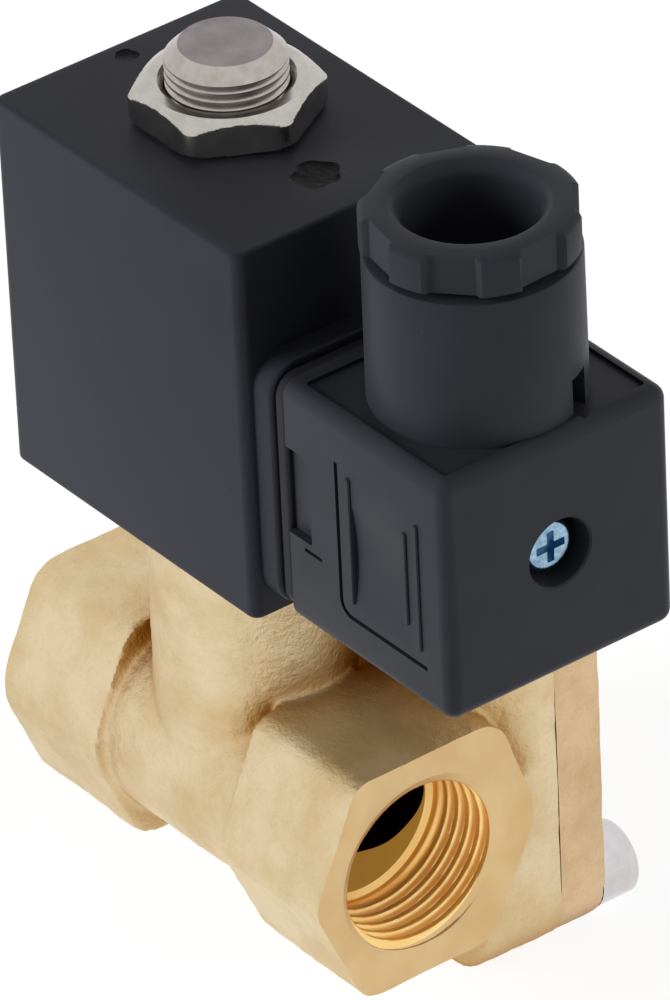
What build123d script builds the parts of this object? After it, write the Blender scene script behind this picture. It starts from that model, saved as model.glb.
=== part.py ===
from build123d import *
import math
import os

# Brass two-way servo-piston solenoid valve with a plug connector. Millimetres.
# X runs along the flow, Y towards the bonnet, Z up the armature tube.
# The origin is on the pipe axis where the inlet's thread begins.

# Fits and clearances
press_gap = 0.02          # parts that are screwed or pressed together
running_gap = 0.08        # moving iron and gland thread
piston_gap = 0.05         # piston in its bore
ring_gap = 0.03           # piston ring in the same bore
rest_gap = 0.1            # faces that meet when the valve is shut
body_gap = 0.3            # neighbours that turn or slide past each other
overshoot = 1.0           # how far a cutter runs out of the face it opens

# Ports, pipe thread G1/2
thread_minor_d = 18.631
port_mouth_d = 22.0
port_thread_length = 11.3
passage_d = 17.2
body_length = 55.0

# Cast ends of the body
port_height = 27.0        # across the flats, top to bottom
port_half_width = 14.3     # to the edge on the open side
port_half_flat = 8.3
port_bulge_width = 15.2    # to the edge on the flange's side
port_bulge_flat = 10.4
port_side_round = 4.0
port_bulge_round = 7.0
port_edge_round = 1.4
inlet_end_length = 16.0
outlet_end_length = 17.0
barrel_d = 24.6
boss_d = 22.0
boss_top = 34.6           # above the pipe axis

# Side flange, piston chamber and bonnet
flange_width = 52.6
flange_low = 20.5          # below the pipe axis
flange_high = 24.8         # above it
flange_corner = 6.0
flange_face = 18.8        # parting plane, from the pipe axis
flange_edge = 2.0         # edge thickness above the ports
flange_back = 8.5
slant_start = 4.0         # height above the pipe axis where the flange's slant begins
slant_run = 3.5           # along the pipe, over the whole slant
piston_bore_d = 26.0
chamber_wall = 2.8
floor_wall = 2.0          # between the passages and the chamber
seat_height = 1.4
seat_d = 14.4
throat_d = 11.0
partition_wall = 3.5
pocket_height = 10.0
pocket_depth = 8.6
bonnet_thickness = 6.0
bonnet_wall = 2.0
bonnet_edge_round = 1.2
bolt_inset = 5.0           # from the flange's top and bottom
bolt_side_inset = 4.7      # from its two ends
bolt_d = 5.0
bolt_hole_d = 5.5
bolt_length = 12.0
bolt_head_d = 8.5
bolt_head_height = 5.0
bolt_socket = 4.0
bolt_socket_depth = 2.5
bonnet_seal_d = 34.0      # mean diameter
bonnet_seal_section = 1.46
seal_groove_width = 2.0
seal_groove_depth = 1.5

# Pilot passages
pilot_hole_d = 2.0
pilot_hole_height = 14.8
pilot_riser_y = 4.0
pilot_riser_d = 1.6
nozzle_d = 4.0
nozzle_bore_d = 1.2
nozzle_height = 2.0

# Piston
piston_thickness = 5.3
disc_d = 17.2
disc_thickness = 2.0
disc_proud = 0.8
ring_height = 1.6
ring_depth = 1.35
ring_inset = 1.0          # from the piston's top
spring_pocket_d = 13.0
spring_pocket_depth = 2.8
disc_screw_d = 3.0
disc_screw_head_d = 6.0
disc_screw_head = 1.6
piston_travel = 3.2
piston_spring_d = 10.0
piston_spring_wire = 0.7
piston_spring_turns = 3.5

# Armature tube
tube_d = 13.0
tube_bore_d = 11.0
tube_top = 74.0
collar_d = 16.0
collar_length = 6.7
tube_seal_section = 1.36
pilot_chamber_d = 11.2
pilot_chamber_depth = 1.6
seal_room = 1.4           # between the collar and the step under it
plunger_length = 24.0
plunger_travel = 1.4
plunger_seal_d = 5.6
plunger_seal_thickness = 2.0
plunger_spring_bore = 6.4
plunger_spring_depth = 10.0
plunger_spring_d = 5.0
plunger_spring_wire = 0.5
plunger_spring_turns = 6
stud_d = 12.8
stud_top = 87.4
stud_chamfer = 1.5
stud_pitch = 1.0
stud_thread_depth = 0.5
stud_thread_length = 8.0
shading_ring_d = 9.4
shading_ring_width = 0.8
shading_ring_depth = 1.5

# Coil
coil_width = 41.2
coil_depth = 31.7
coil_height = 44.0
coil_shift_x = 1.9        # centre of the coil block from the tube
coil_shift_y = -0.45
coil_round = 2.2
coil_bore_d = 13.6
coil_roof = 3.5
frame_plate = 3.0
frame_back = 2.5
frame_reach_back = 15.0   # tube to the outside of the frame's back
frame_reach_front = 13.5
frame_depth = 26.0
bobbin_wall = 1.2
bobbin_flange = 1.5
bobbin_flange_d = 24.4
winding_d = 23.6
base_size = 29.2
base_thickness = 2.9
base_round = 3.5
insert_d = 5.2
insert_length = 7.4
nut_flats = 18.0
nut_height = 3.9
nut_chamfer = 1.0
washer_d = 17.0
washer_thickness = 0.4
nut_bore_chamfer = 0.7

# Plug connector, square type A, 28 mm wide
plug_width = 29.0
plug_height = 28.4
plug_length = 26.0
plug_bottom = 37.5
plug_round = 1.2
plug_wall = 1.8
plug_front_wall = 2.2
gasket_thickness = 1.75
gasket_round = 2.5
screw_rise = 0.3          # plug screw above the middle of the plug
screw_recess_d = 7.7
screw_recess_depth = 4.3
screw_boss_wall = 1.4
screw_boss_length = 9.0
plug_screw_d = 3.0
plug_screw_head_d = 6.0
plug_screw_head = 2.2
plug_screw_length = 28.0
screw_seal_thickness = 0.5
screw_hole_gap = 0.2
blade_width = 6.3
blade_thickness = 0.8
blade_length = 11.0
blade_root = 6.0
blade_spacing = 18.0
earth_drop = 9.0
contact_wall = 0.6
contact_length = 9.0
block_length = 13.7
block_height = 20.0
block_gap = 0.1
block_setback = 1.5
clamp_screw_d = 3.0
clamp_screw_head_d = 4.6
clamp_screw_head = 1.5
clamp_screw_length = 4.0

# Cable gland on the plug
tower_d = 22.5
tower_top_d = 22.3
tower_setback = 12.6      # tower axis behind the plug's front face
tower_height = 16.5
tower_bore_d = 17.2
cable_hole_d = 13.0
sleeve_bore_d = 8.6
sleeve_length = 8.4
gland_washer_bore_d = 12.0
gland_washer_thickness = 1.0
gland_nut_d = 22.6
gland_nut_height = 5.0
gland_nut_bore_d = 14.2
gland_lobes = 7
gland_first_flat = 3.0    # degrees from the pipe axis to the middle of the first flat
gland_flat_depth = 0.9
gland_flat_width = 5.6
gland_rim_chamfer = 1.0

# Places worked out from the sizes above
mouth_chamfer = (port_mouth_d - thread_minor_d) / 2
inlet_face = -mouth_chamfer
outlet_face = inlet_face + body_length
tube_x = inlet_face + body_length / 2
flange_height = flange_low + flange_high
flange_mid = (flange_high - flange_low) / 2
chamber_floor = passage_d / 2 + floor_wall
seat_plane = chamber_floor + seat_height
bonnet_face = flange_face + bonnet_thickness
bonnet_ceiling = bonnet_face - bonnet_wall
collar_bottom = boss_top - collar_length
seal_step = collar_bottom - seal_room
pilot_floor = seal_step - pilot_chamber_depth
nozzle_top = pilot_floor + nozzle_height
plunger_seal_bottom = nozzle_top + rest_gap
plunger_bottom = plunger_seal_bottom + plunger_seal_thickness / 2
plunger_top = plunger_bottom + plunger_length
core_bottom = plunger_top + plunger_travel + rest_gap
coil_bottom = boss_top + body_gap
coil_top = coil_bottom + coil_height
coil_x = tube_x + coil_shift_x
coil_y = coil_shift_y
coil_front = coil_x + coil_width / 2
base_front = coil_front + base_thickness
washer_bottom = coil_top + rest_gap
nut_seat = washer_bottom + washer_thickness
gasket_back = base_front + rest_gap
plug_back = gasket_back + gasket_thickness
plug_front = plug_back + plug_length
plug_mid = plug_bottom + plug_height / 2
plug_top = plug_bottom + plug_height
screw_z = plug_mid + screw_rise
tower_x = plug_front - tower_setback
tower_top = plug_top + tower_height
block_back = plug_back + block_setback
screw_shoulder = plug_front - screw_recess_depth

BASE = (Align.CENTER, Align.CENTER, Align.MIN)


def along_x(x, y=0.0, z=0.0):
    return Plane(origin=(x, y, z), x_dir=(0, 1, 0), z_dir=(1, 0, 0))


def along_y(y, x=tube_x, z=0.0):
    return Plane(origin=(x, y, z), x_dir=(1, 0, 0), z_dir=(0, 1, 0))


def along_z(z, x=tube_x, y=0.0):
    return Plane(origin=(x, y, z))


def rod(plane, diameter, length):
    return plane * Cylinder(diameter / 2, length, align=BASE)


def ring(plane, outer, inner, length):
    return rod(plane, outer, length) - rod(plane, inner, length)


def cone(plane, bottom, top, length):
    return plane * Cone(bottom / 2, top / 2, length, align=BASE)


def block(low, high):
    size = [b - a for a, b in zip(low, high)]
    middle = [(a + b) / 2 for a, b in zip(low, high)]
    return Pos(*middle) * Box(*size)


def rounded_plate(plane, width, height, corner, thickness):
    return extrude(plane * RectangleRounded(width, height, corner), thickness)


def coil_spring(plane, mean_d, wire, length, turns):
    rise = length - wire
    path = Helix(pitch=rise / turns, height=rise, radius=mean_d / 2)
    section = Plane(path @ 0, z_dir=path % 0) * Circle(wire / 2)
    return plane * Pos(0, 0, wire / 2) * sweep(section, path=path)


def save(name, shape):
    shape.label = name
    export_step(shape, f"parts/{name}.step")


# The two cast ends share one six-sided outline, flat on top and underneath, and fuller on
# the upper side that faces the flange.
def port_outline():
    half_height = port_height / 2
    corners = [
        (port_bulge_flat, half_height),
        (-port_half_flat, half_height),
        (-port_half_width, 0),
        (-port_half_flat, -half_height),
        (port_half_flat, -half_height),
        (port_bulge_width, 0),
    ]
    rounds = [port_side_round, port_edge_round, port_side_round, port_edge_round,
              port_edge_round, port_bulge_round]
    outline = make_face(Polyline(*corners, close=True))
    for (y, z), radius in zip(corners, rounds):
        near = [v for v in outline.vertices() if math.hypot(v.X - y, v.Y - z) < 0.01]
        outline = fillet(near, radius)
    return outline


# Flange block: full thickness below the ports, slanted at both ends above them.
def flange_block():
    plate = rounded_plate(along_y(flange_back, z=flange_mid), flange_width, flange_height,
                          flange_corner, flange_face - flange_back)
    for side in (-1, 1):
        edge = tube_x + side * flange_width / 2
        corners = [
            (edge + side * overshoot, flange_back - overshoot),
            (edge + side * overshoot, flange_face - flange_edge),
            (edge, flange_face - flange_edge),
            (edge - side * slant_run, flange_back),
            (edge - side * slant_run, flange_back - overshoot),
        ]
        wedge = make_face(Plane.XY.offset(slant_start) * Polyline(*corners, close=True))
        plate -= extrude(wedge, flange_high - slant_start + overshoot, dir=(0, 0, 1))
    return plate


def body_outside():
    inlet_end = extrude(along_x(inlet_face) * port_outline(), inlet_end_length)
    outlet_start = outlet_face - outlet_end_length
    outlet_end = extrude(along_x(outlet_start) * port_outline(), outlet_end_length)
    barrel = rod(along_x(inlet_face + 1), barrel_d, body_length - 2)
    boss = rod(along_z(0), boss_d, boss_top)
    chamber_d = piston_bore_d + 2 * chamber_wall
    chamber = rod(along_y(0), chamber_d, flange_face - 1)
    return barrel + inlet_end + outlet_end + boss + chamber + flange_block()


def port_cut(face, side):
    mouth = Plane(origin=(face, 0, 0), x_dir=(0, 1, 0), z_dir=(-side, 0, 0))
    chamfer = cone(mouth, port_mouth_d, thread_minor_d, mouth_chamfer)
    return chamfer + rod(mouth, thread_minor_d, mouth_chamfer + port_thread_length)


def flow_passages():
    inlet_end = tube_x - throat_d / 2 - partition_wall
    inlet = rod(along_x(0), passage_d, inlet_end)
    outlet_start = tube_x - throat_d / 2
    outlet = rod(along_x(outlet_start), passage_d, outlet_face - mouth_chamfer - outlet_start)
    throat = rod(along_y(0), throat_d, seat_plane)
    pocket_back = tube_x - piston_bore_d / 2 + body_gap
    low = (pocket_back, chamber_floor - pocket_depth, -pocket_height / 2)
    pocket = block(low, (inlet_end, chamber_floor, pocket_height / 2))
    above = flange_face - chamber_floor + overshoot
    bore = rod(along_y(chamber_floor), piston_bore_d, above)
    bore -= ring(along_y(chamber_floor), seat_d, throat_d, seat_height)
    return inlet + outlet + throat + pocket + bore


def pilot_passages():
    run_start = pilot_riser_y - pilot_hole_d * 0.65
    run = rod(along_y(run_start, z=pilot_hole_height), pilot_hole_d,
              flange_face - run_start + overshoot)
    riser = rod(along_z(pilot_hole_height, y=pilot_riser_y), pilot_riser_d,
                pilot_floor - pilot_hole_height + overshoot)
    drain = rod(along_z(0), nozzle_bore_d, nozzle_top)
    chamber = rod(along_z(pilot_floor), pilot_chamber_d, pilot_chamber_depth)
    chamber -= rod(along_z(pilot_floor), nozzle_d, nozzle_height)
    collar_bore = rod(along_z(seal_step), collar_d, boss_top - seal_step + overshoot)
    collar_bore -= rod(along_z(pilot_floor), nozzle_d, nozzle_height)
    return run + riser + drain + chamber + collar_bore


def bolt_places():
    heights = (bolt_inset - flange_low, flange_high - bolt_inset)
    reach = flange_width / 2 - bolt_side_inset
    return [(tube_x + side * reach, z) for side in (-1, 1) for z in heights]


def valve_body():
    solid = body_outside()
    solid -= port_cut(inlet_face, -1)
    solid -= port_cut(outlet_face, 1)
    solid -= flow_passages()
    solid -= pilot_passages()
    tapped = bolt_d + 2 * press_gap
    depth = bolt_length - bonnet_thickness + rest_gap
    for x, z in bolt_places():
        solid -= rod(along_y(flange_face - depth, x=x, z=z), tapped, depth + overshoot)
    return solid


def bonnet():
    plate = rounded_plate(along_y(flange_face, z=flange_mid), flange_width, flange_height,
                          flange_corner, bonnet_thickness)
    plate = fillet(plate.edges().group_by(Axis.Y)[-1], bonnet_edge_round)
    plate -= rod(along_y(flange_face), piston_bore_d, bonnet_ceiling - flange_face)
    plate -= ring(along_y(flange_face), bonnet_seal_d + seal_groove_width,
                  bonnet_seal_d - seal_groove_width, seal_groove_depth)
    slot_top = pilot_hole_height + pilot_hole_d / 2
    low = (tube_x - pilot_hole_d / 2, flange_face, 0)
    plate -= block(low, (tube_x + pilot_hole_d / 2, flange_face + pilot_hole_d / 2, slot_top))
    for x, z in bolt_places():
        plate -= rod(along_y(flange_face, x=x, z=z), bolt_hole_d, bonnet_thickness)
    return plate


def bonnet_screw(x, z):
    seat = along_y(bonnet_face, x=x, z=z)
    head = rod(seat, bolt_head_d, bolt_head_height)
    head = fillet(head.edges().group_by(Axis.Y)[-1], 0.5)
    socket_floor = along_y(bonnet_face + bolt_head_height - bolt_socket_depth, x=x, z=z)
    across_corners = bolt_socket / math.cos(math.pi / 6)
    head -= extrude(socket_floor * RegularPolygon(across_corners / 2, 6), bolt_socket_depth)
    return head + rod(along_y(bonnet_face - bolt_length, x=x, z=z), bolt_d, bolt_length)


def bonnet_seal():
    middle = flange_face + seal_groove_depth / 2
    return along_y(middle) * Torus(bonnet_seal_d / 2, bonnet_seal_section / 2)


disc_bottom = seat_plane + rest_gap
piston_bottom = disc_bottom + disc_proud
piston_top = piston_bottom + piston_thickness
disc_top = disc_bottom + disc_thickness
ring_top = piston_top - ring_inset
spring_seat = piston_top - spring_pocket_depth


def piston():
    outer = piston_bore_d - 2 * piston_gap
    solid = rod(along_y(piston_bottom), outer, piston_thickness)
    solid -= rod(along_y(piston_bottom), disc_d, disc_top - piston_bottom)
    solid -= ring(along_y(ring_top - ring_height), outer, outer - 2 * ring_depth, ring_height)
    solid -= rod(along_y(spring_seat), spring_pocket_d, spring_pocket_depth)
    solid -= rod(along_y(disc_top), disc_screw_d + 2 * press_gap, spring_seat - disc_top)
    bleed_z = (seat_d + piston_bore_d) / 4
    solid -= rod(along_y(piston_bottom, z=-bleed_z), nozzle_bore_d, piston_thickness)
    return solid


def piston_ring():
    outer = piston_bore_d - 2 * ring_gap
    inner = piston_bore_d - 2 * piston_gap - 2 * ring_depth
    return ring(along_y(ring_top - ring_height), outer, inner, ring_height)


def piston_disc():
    return ring(along_y(disc_bottom), disc_d, disc_screw_d + 2 * press_gap, disc_thickness)


def disc_screw():
    head = rod(along_y(disc_bottom - disc_screw_head), disc_screw_head_d, disc_screw_head)
    shank = rod(along_y(disc_bottom), disc_screw_d, spring_seat - disc_bottom)
    slot = block((tube_x - disc_screw_head_d, disc_bottom - disc_screw_head, -0.4),
                 (tube_x + disc_screw_head_d, disc_bottom - disc_screw_head / 2, 0.4))
    return head + shank - slot


def piston_spring():
    room = bonnet_ceiling - spring_seat
    return coil_spring(along_y(spring_seat), piston_spring_d, piston_spring_wire, room,
                       piston_spring_turns)


def guide_tube():
    collar = rod(along_z(collar_bottom), collar_d - 2 * press_gap, collar_length)
    collar = chamfer(collar.edges().group_by(Axis.Z)[0], 0.5)
    sleeve = rod(along_z(collar_bottom), tube_d, tube_top - collar_bottom)
    return collar + sleeve - rod(along_z(collar_bottom), tube_bore_d, tube_top - collar_bottom)


# The stud above the coil carries ring-shaped ridges at the real thread's pitch.
def fixed_core():
    core = rod(along_z(core_bottom), tube_bore_d - 2 * press_gap, tube_top - core_bottom)
    stud = rod(along_z(tube_top), stud_d, stud_top - tube_top)
    stud = chamfer(stud.edges().group_by(Axis.Z)[-1], stud_chamfer)
    solid = core + stud
    solid -= shading_groove()
    half = stud_pitch / 2
    groove = make_face(Plane.XZ * Polyline(
        (stud_d / 2 + half, -half - half / 2),
        (stud_d / 2 - stud_thread_depth, 0),
        (stud_d / 2 + half, half + half / 2),
        close=True))
    cutter = revolve(groove, Axis.Z)
    for i in range(int(stud_thread_length / stud_pitch)):
        height = stud_top - stud_chamfer - half - i * stud_pitch
        solid -= along_z(height) * cutter
    return solid


def shading_groove():
    inner = shading_ring_d - 2 * shading_ring_width
    return ring(along_z(core_bottom), shading_ring_d, inner, shading_ring_depth)


def tube_seal():
    middle = (seal_step + collar_bottom) / 2
    radius = (pilot_chamber_d + collar_d) / 4
    return along_z(middle) * Torus(radius, tube_seal_section / 2)


def plunger():
    outer = tube_bore_d - 2 * running_gap
    solid = rod(along_z(plunger_bottom), outer, plunger_length)
    solid -= rod(along_z(plunger_bottom), plunger_seal_d, plunger_seal_thickness / 2)
    top = plunger_bottom + plunger_length
    solid -= rod(along_z(top - plunger_spring_depth), plunger_spring_bore, plunger_spring_depth)
    return chamfer(solid.edges().group_by(Axis.Z)[-1][-1], 0.4)


def plunger_seal():
    return rod(along_z(plunger_seal_bottom), plunger_seal_d, plunger_seal_thickness)


def plunger_spring():
    foot = plunger_top - plunger_spring_depth
    return coil_spring(along_z(foot), plunger_spring_d, plunger_spring_wire,
                       core_bottom - foot, plunger_spring_turns)


def coil_cavity():
    low = (tube_x - frame_reach_back, -frame_depth / 2, coil_bottom)
    high = (tube_x + frame_reach_front, frame_depth / 2, coil_top - coil_roof)
    return block(low, high)


def screw_line(x):
    return along_x(x, coil_y, screw_z)


# Centre and turn of each flat blade: two upright side by side and the earth blade below.
def blade_places():
    half = blade_spacing / 2
    return [(coil_y - half, screw_z, False), (coil_y + half, screw_z, False),
            (coil_y, screw_z - earth_drop, True)]


def flat_bar(x, length, place, grow):
    y, z, lying = place
    across = blade_thickness / 2 + grow
    along = blade_width / 2 + grow
    half_y, half_z = (along, across) if lying else (across, along)
    return block((x, y - half_y, z - half_z), (x + length, y + half_y, z + half_z))


def coil_housing():
    low = (coil_x - coil_width / 2, coil_y - coil_depth / 2, coil_bottom)
    high = (coil_front, coil_y + coil_depth / 2, coil_top)
    solid = block(low, high)
    uprights = solid.edges().filter_by(Axis.Z)
    solid = fillet(uprights, coil_round)
    solid = fillet(solid.edges().group_by(Axis.Z)[-1], coil_round / 2)
    base = rounded_plate(along_x(coil_front, coil_y, plug_mid), base_size, base_size,
                         base_round, base_thickness)
    solid += base
    solid -= coil_cavity()
    solid -= rod(along_z(coil_bottom), coil_bore_d, coil_height)
    solid -= rod(screw_line(base_front - insert_length), insert_d, insert_length)
    for place in blade_places():
        solid -= flat_bar(base_front - blade_root, blade_root, place, 0)
    return solid


def magnet_frame():
    solid = coil_cavity()
    low = (tube_x - frame_reach_back + frame_back, -frame_depth / 2, coil_bottom + frame_plate)
    high = (tube_x + frame_reach_front, frame_depth / 2, coil_top - coil_roof - frame_plate)
    solid -= block(low, high)
    return solid - rod(along_z(coil_bottom), coil_bore_d, coil_height)


def bobbin_span():
    return coil_bottom + frame_plate, coil_top - coil_roof - frame_plate


def coil_bobbin():
    low, high = bobbin_span()
    core_d = coil_bore_d + 2 * bobbin_wall
    solid = rod(along_z(low), core_d, high - low)
    solid += rod(along_z(low), bobbin_flange_d, bobbin_flange)
    solid += rod(along_z(high - bobbin_flange), bobbin_flange_d, bobbin_flange)
    return solid - rod(along_z(low), coil_bore_d, high - low)


def coil_winding():
    low, high = bobbin_span()
    length = high - low - 2 * bobbin_flange
    return ring(along_z(low + bobbin_flange), winding_d, coil_bore_d + 2 * bobbin_wall, length)


def coil_terminals():
    length = blade_root + blade_length
    return [flat_bar(base_front - blade_root, length, place, 0) for place in blade_places()]


def screw_insert():
    bore = plug_screw_d + 4 * press_gap
    return ring(screw_line(base_front - insert_length), insert_d, bore, insert_length)


def coil_washer():
    return ring(along_z(washer_bottom), washer_d, stud_d + 2 * piston_gap, washer_thickness)


def coil_nut():
    radius = nut_flats / 2 / math.cos(math.pi / 6)
    solid = extrude(along_z(nut_seat) * RegularPolygon(radius, 6), nut_height)
    crown = cone(along_z(nut_seat), 2 * radius + 2 * nut_height, 2 * radius - 2 * nut_chamfer,
                 nut_height)
    solid = solid & crown
    bore = stud_d + 2 * piston_gap
    solid -= rod(along_z(nut_seat), bore, nut_height)
    mouth = cone(along_z(nut_seat + nut_height - nut_bore_chamfer), bore,
                 bore + 2 * nut_bore_chamfer, nut_bore_chamfer)
    return solid - mouth


def connector_gasket():
    plate = rounded_plate(along_x(gasket_back, coil_y, plug_mid), plug_width, plug_height,
                          gasket_round, gasket_thickness)
    plate -= rod(screw_line(gasket_back), plug_screw_d + 4 * screw_hole_gap, gasket_thickness)
    for place in blade_places():
        plate -= flat_bar(gasket_back, gasket_thickness, place, body_gap)
    return plate


def connector_housing():
    half = plug_width / 2
    solid = block((plug_back, coil_y - half, plug_bottom), (plug_front, coil_y + half, plug_top))
    solid = fillet(solid.edges().group_by(Axis.X)[-1] + solid.edges().filter_by(Axis.X), plug_round)
    solid += cone(along_z(plug_top - plug_wall, tower_x, coil_y), tower_d, tower_top_d,
                  tower_height + plug_wall)
    inner = half - plug_wall
    solid -= block((plug_back, coil_y - inner, plug_bottom + plug_wall),
                   (plug_front - plug_front_wall, coil_y + inner, plug_top - plug_wall))
    boss_start = plug_front - screw_boss_length
    boss_outer = screw_recess_d + 2 * screw_boss_wall
    solid += rod(screw_line(boss_start), boss_outer, screw_boss_length - plug_front_wall / 2)
    solid -= rod(screw_line(boss_start), plug_screw_d + 2 * screw_hole_gap, screw_boss_length)
    solid -= rod(screw_line(screw_shoulder), screw_recess_d, screw_recess_depth)
    top_inside = plug_top - plug_wall
    solid -= rod(along_z(top_inside, tower_x, coil_y), cable_hole_d, tower_height + plug_wall)
    return solid - rod(along_z(plug_top, tower_x, coil_y), tower_bore_d, tower_height)


def contact_places():
    return [(block_back, place) for place in blade_places()]


def terminal_block():
    half = plug_width / 2 - plug_wall - block_gap
    bottom = plug_bottom + plug_wall + block_gap
    solid = block((block_back, coil_y - half, bottom),
                  (block_back + block_length, coil_y + half, bottom + block_height))
    hole = plug_screw_d + 4 * screw_hole_gap
    solid -= rod(screw_line(block_back), hole, block_length)
    for x, place in contact_places():
        solid -= flat_bar(x, contact_length, place, body_gap + contact_wall)
        y, z, lying = place
        line = along_x(x + contact_length, y, z)
        solid -= rod(line, clamp_screw_d + 2 * press_gap, block_length - contact_length)
    return solid


def terminal_sockets():
    solids = []
    for x, place in contact_places():
        outer = flat_bar(x, contact_length, place, body_gap + contact_wall)
        solids.append(outer - flat_bar(x, contact_length, place, body_gap))
    return solids


def terminal_screws():
    solids = []
    for x, place in contact_places():
        y, z, lying = place
        back = block_back + block_length
        shank = rod(along_x(back - clamp_screw_length, y, z), clamp_screw_d, clamp_screw_length)
        head = rod(along_x(back, y, z), clamp_screw_head_d, clamp_screw_head)
        slot = block((back + clamp_screw_head / 2, y - clamp_screw_head_d, z - 0.35),
                     (back + clamp_screw_head, y + clamp_screw_head_d, z + 0.35))
        solids.append(shank + head - slot)
    return solids


def cross_recess(x, size, width, depth):
    y, z = coil_y, screw_z
    lying = block((x - depth, y - size / 2, z - width / 2), (x, y + size / 2, z + width / 2))
    upright = block((x - depth, y - width / 2, z - size / 2), (x, y + width / 2, z + size / 2))
    return lying + upright


def connector_screw():
    seat = screw_shoulder + screw_seal_thickness
    head = rod(screw_line(seat), plug_screw_head_d, plug_screw_head)
    head = fillet(head.edges().group_by(Axis.X)[-1], plug_screw_head / 3)
    head -= cross_recess(seat + plug_screw_head, plug_screw_head_d * 0.6, 0.9, 1.3)
    return head + rod(screw_line(seat - plug_screw_length), plug_screw_d, plug_screw_length)


def screw_seal():
    inner = plug_screw_d + 2 * screw_hole_gap
    return ring(screw_line(screw_shoulder), plug_screw_head_d, inner, screw_seal_thickness)


def gland_sleeve():
    outer = tower_bore_d - 2 * rest_gap
    return ring(along_z(plug_top, tower_x, coil_y), outer, sleeve_bore_d, sleeve_length)


def gland_washer():
    outer = tower_bore_d - 2 * rest_gap
    low = plug_top + sleeve_length
    return ring(along_z(low, tower_x, coil_y), outer, gland_washer_bore_d, gland_washer_thickness)


# Head with a flat cut between each two lobes, and a spigot that screws into the tower.
def gland_nut():
    seat = tower_top + body_gap
    top = seat + gland_nut_height
    head = rod(along_z(seat, tower_x, coil_y), gland_nut_d, gland_nut_height)
    head = chamfer(head.edges().group_by(Axis.Z)[-1], gland_rim_chamfer)
    reach = gland_nut_d / 2
    for i in range(gland_lobes):
        turn = gland_first_flat + 360 / gland_lobes * i
        cut = Pos(reach, 0, gland_nut_height / 2) * Box(
            2 * gland_flat_depth, gland_flat_width, gland_nut_height)
        head -= along_z(seat, tower_x, coil_y) * Rot(0, 0, turn) * cut
    foot = plug_top + sleeve_length + gland_washer_thickness + rest_gap
    spigot = rod(along_z(foot, tower_x, coil_y), tower_bore_d - 2 * running_gap, seat - foot)
    bore = rod(along_z(foot, tower_x, coil_y), gland_nut_bore_d, top - foot)
    rim = cone(along_z(top - gland_rim_chamfer, tower_x, coil_y), gland_nut_bore_d,
               gland_nut_bore_d + 2 * gland_rim_chamfer, gland_rim_chamfer)
    return head + spigot - bore - rim


os.makedirs("parts", exist_ok=True)

save("valve_body", valve_body())
save("bonnet", bonnet())
save("bonnet_screws", Compound([bonnet_screw(x, z) for x, z in bolt_places()]))
save("bonnet_seal", bonnet_seal())
save("piston", piston())
save("piston_ring", piston_ring())
save("piston_disc", piston_disc())
save("disc_screw", disc_screw())
save("piston_spring", piston_spring())
save("guide_tube", guide_tube())
save("fixed_core", fixed_core())
save("shading_ring", shading_groove())
save("tube_seal", tube_seal())
save("plunger", plunger())
save("plunger_seal", plunger_seal())
save("plunger_spring", plunger_spring())
save("coil_housing", coil_housing())
save("magnet_frame", magnet_frame())
save("coil_bobbin", coil_bobbin())
save("coil_winding", coil_winding())
save("coil_terminals", Compound(coil_terminals()))
save("screw_insert", screw_insert())
save("coil_washer", coil_washer())
save("coil_nut", coil_nut())
save("connector_gasket", connector_gasket())
save("connector_housing", connector_housing())
save("terminal_block", terminal_block())
save("terminal_sockets", Compound(terminal_sockets()))
save("terminal_screws", Compound(terminal_screws()))
save("connector_screw", connector_screw())
save("screw_seal", screw_seal())
save("gland_sleeve", gland_sleeve())
save("gland_washer", gland_washer())
save("gland_nut", gland_nut())
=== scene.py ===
import math
import bpy
import bmesh
import numpy as np
from mathutils import Matrix, Vector, noise


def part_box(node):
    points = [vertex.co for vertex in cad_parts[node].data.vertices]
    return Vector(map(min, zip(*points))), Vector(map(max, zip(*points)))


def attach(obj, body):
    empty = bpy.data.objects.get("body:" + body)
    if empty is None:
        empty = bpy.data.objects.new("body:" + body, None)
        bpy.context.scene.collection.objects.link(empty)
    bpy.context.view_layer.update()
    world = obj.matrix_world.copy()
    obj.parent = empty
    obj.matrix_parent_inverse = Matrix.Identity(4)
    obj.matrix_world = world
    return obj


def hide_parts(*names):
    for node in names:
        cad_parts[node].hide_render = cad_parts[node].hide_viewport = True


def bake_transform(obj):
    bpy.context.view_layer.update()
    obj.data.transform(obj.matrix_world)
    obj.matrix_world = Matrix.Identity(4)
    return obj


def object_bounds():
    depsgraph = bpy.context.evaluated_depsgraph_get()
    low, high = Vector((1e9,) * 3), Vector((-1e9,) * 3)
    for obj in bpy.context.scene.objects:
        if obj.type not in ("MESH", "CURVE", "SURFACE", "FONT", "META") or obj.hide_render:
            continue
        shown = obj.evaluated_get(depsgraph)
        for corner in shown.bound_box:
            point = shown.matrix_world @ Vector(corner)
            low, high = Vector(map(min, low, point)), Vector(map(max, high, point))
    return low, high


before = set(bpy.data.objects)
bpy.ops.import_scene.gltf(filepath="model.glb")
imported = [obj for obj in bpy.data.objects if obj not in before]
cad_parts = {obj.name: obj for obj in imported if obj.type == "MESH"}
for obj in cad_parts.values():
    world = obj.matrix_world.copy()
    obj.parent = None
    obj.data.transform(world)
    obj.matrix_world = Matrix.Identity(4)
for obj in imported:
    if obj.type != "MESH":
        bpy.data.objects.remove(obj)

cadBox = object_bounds()
scene = bpy.context.scene
mm = 0.001   # pieces are drawn in millimetres and scaled once, when their mesh is made


def span(node):   # lowest and highest corner of a CAD node, in mm
    low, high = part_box(node)
    return low / mm, high / mm


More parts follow.
